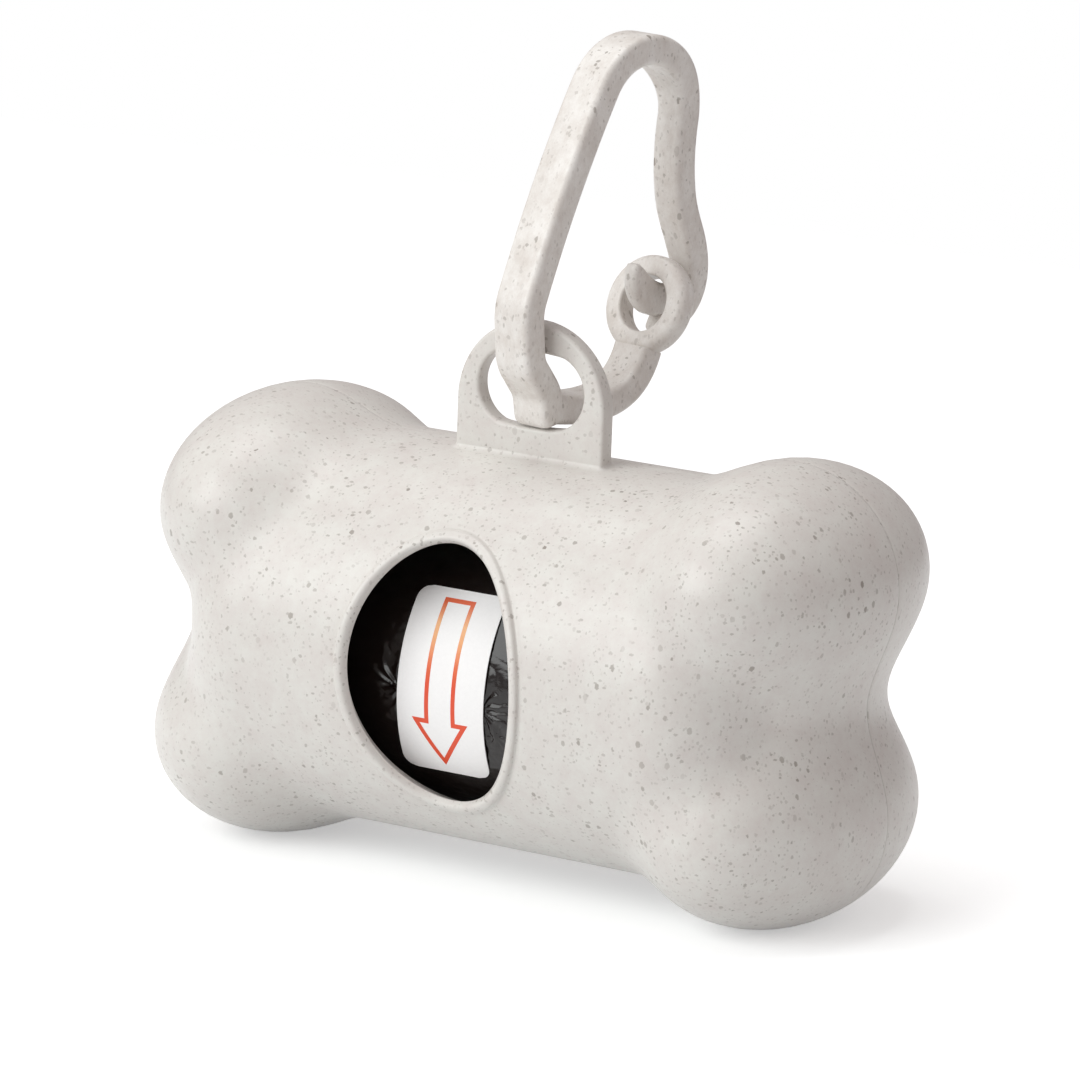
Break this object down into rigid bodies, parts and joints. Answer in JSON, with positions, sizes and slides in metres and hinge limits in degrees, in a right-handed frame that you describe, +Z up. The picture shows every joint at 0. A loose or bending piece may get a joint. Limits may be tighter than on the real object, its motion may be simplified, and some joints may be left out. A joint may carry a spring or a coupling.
{
  "type": "bone shaped waste bag dispenser",
  "caption": "Bone shaped two piece moulded case holding a roll of waste bags, with an oval outlet, a hanging tab and a one piece plastic snap loop",
  "frame": {"origin": "On the table, below the middle of the bone: the plane of the flats that the lower knobs rest on, level with the bone's long axis front to back", "axes": "+X runs along the bone to the right as seen from the window, +Y from the window to the back, +Z up from the table towards the snap loop"},
  "size_m": [0.085, 0.0437, 0.0879],
  "materials": {
    "shell": "satin, with fine brown fibre flecks",
    "clip": "satin, with fine brown fibre flecks",
    "core": "plain grey brown board",
    "film": "glossy creased film",
    "seal": "matte printed paper"
  },
  "bodies": {
    "front_half": {"front_shell": "shell"},
    "rear_half": {"rear_shell": "shell"},
    "snap_loop": {"clip_loop": "clip"},
    "gate": {"clip_gate": "clip"},
    "roll": {"roll_core": "core", "bag_roll": "film", "roll_seal": "seal"}
  },
  "joints": [
    {"name": "rear_pull", "type": "slide", "parent": "front_half", "child": "rear_half", "axis": [0, 1, 0], "range_m": [0, 0.03]},
    {"name": "roll_turn", "type": "hinge", "parent": "front_half", "child": "roll", "pos_m": [0, 0, 0.021], "axis": [1, 0, 0], "continuous": true},
    {"name": "loop_swing", "type": "hinge", "parent": "front_half", "child": "snap_loop", "pos_m": [0.0007, -0.00172, 0.0563], "axis": [0.9848, -0.1736, 0], "range_deg": [0, 110]},
    {"name": "gate_flex", "type": "hinge", "parent": "snap_loop", "child": "gate", "pos_m": [0.00416, 0.0179, 0.06868], "axis": [0.9848, -0.1736, 0], "range_deg": [0, 40], "stiffness_Nm_per_rad": 0.02}
  ]
}
